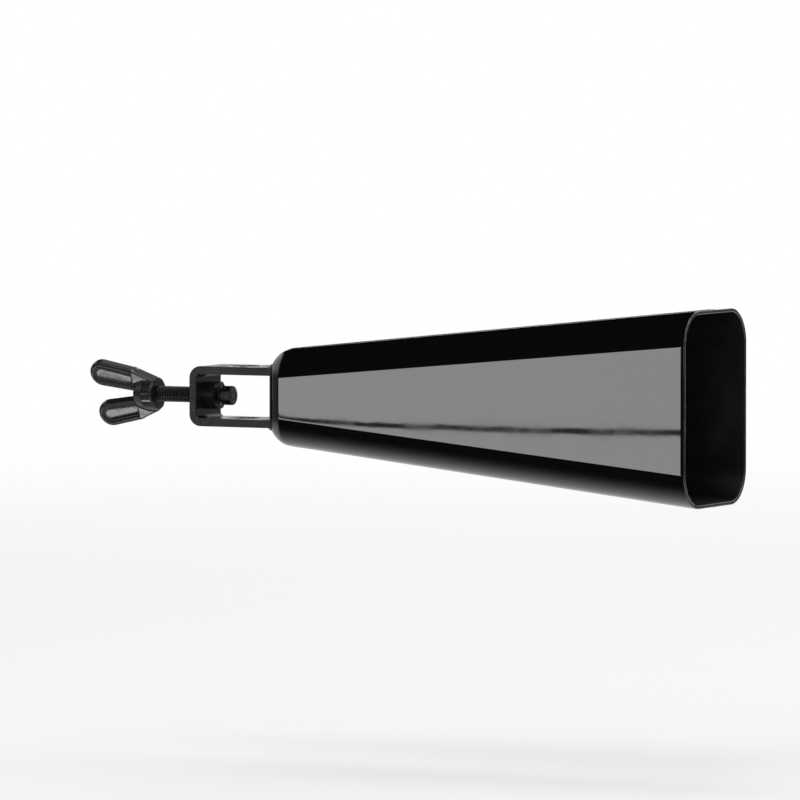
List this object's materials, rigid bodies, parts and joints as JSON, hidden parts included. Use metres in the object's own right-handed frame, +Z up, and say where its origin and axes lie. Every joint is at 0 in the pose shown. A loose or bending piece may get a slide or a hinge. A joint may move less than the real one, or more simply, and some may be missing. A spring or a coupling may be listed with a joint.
{
  "type": "cowbell",
  "caption": "Tapered steel cowbell with an open mouth, and a bent strap bracket on its crown whose wing screw clamps it to an upright rod.",
  "frame": {"origin": "centre of the rod clamp, where the axis of the two rod holes crosses the axis of the clamp screw", "axes": "+Z up along the rod, +X along the bell towards its mouth, Y from one wide face to the other"},
  "size_m": [0.2578, 0.054, 0.0728],
  "materials": {
    "bell_lacquer": "gloss black lacquer",
    "weld_bead": "gloss black lacquer over a weld bead",
    "bracket_paint": "semi-gloss black",
    "wing_paint": "semi-gloss black over a zinc casting",
    "screw_oxide": "black oxide, oiled",
    "pad_steel": "turned steel, blackened"
  },
  "bodies": {
    "bell": {"front_shell": "bell_lacquer", "rear_shell": "bell_lacquer", "seam_weld_upper": "weld_bead", "seam_weld_crown": "weld_bead", "seam_weld_lower": "weld_bead", "clamp_bracket": "bracket_paint", "bracket_weld_upper": "weld_bead", "bracket_weld_lower": "weld_bead", "weld_nut": "bracket_paint"},
    "pad": {"pressure_pad": "pad_steel"},
    "wing_screw": {"screw_shank": "screw_oxide", "wing_head": "wing_paint"}
  },
  "joints": [
    {"name": "pad_slide", "type": "slide", "parent": "bell", "child": "pad", "axis": [1, 0, 0], "range_m": [-0.0016, 0.018]},
    {"name": "screw_turn", "type": "hinge", "parent": "pad", "child": "wing_screw", "pos_m": [-0.00725, 0, 0], "axis": [1, 0, 0], "range_deg": [-576, 6480]}
  ],
  "couplings": [
    {"joint": "pad_slide", "follows": "screw_turn", "m_per_rad": 0.00015915}
  ]
}
